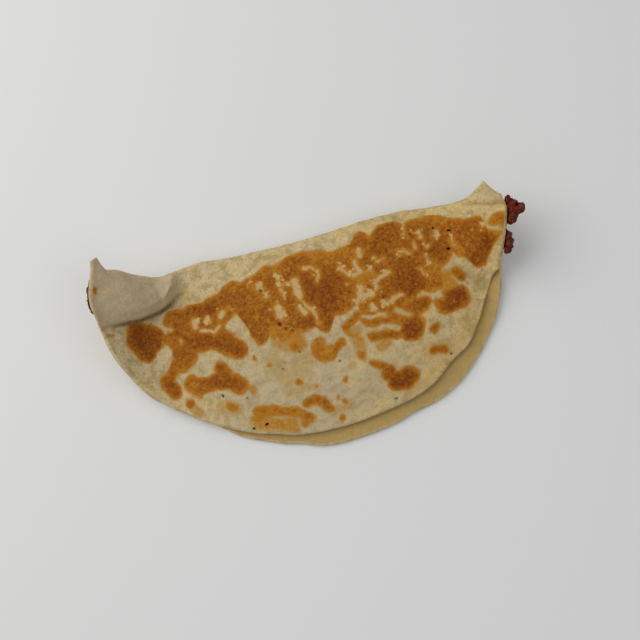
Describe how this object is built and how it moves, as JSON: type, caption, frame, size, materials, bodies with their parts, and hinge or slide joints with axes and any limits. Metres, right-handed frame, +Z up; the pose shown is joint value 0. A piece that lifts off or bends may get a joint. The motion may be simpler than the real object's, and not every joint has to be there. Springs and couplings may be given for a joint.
{
  "type": "quesadilla",
  "caption": "Half-moon folded flour tortilla, toasted in patches, filled with ground meat, with a flat base and both ends curled up.",
  "frame": {"origin": "middle of the bounding box at the underside, on the surface that the quesadilla rests on", "axes": "+X along the fold towards the end with the small triangular dog-ear, +Y from the open curved edge towards the fold, +Z up"},
  "size_m": [0.1923, 0.0978, 0.0371],
  "materials": {
    "toasted_dough": "floury and matte, with golden to dark brown toasted patches",
    "ground_meat": "greasy, dark red-brown crumbs"
  },
  "bodies": {
    "root": {"tortilla": "toasted_dough", "filling": "ground_meat"}
  },
  "joints": []
}
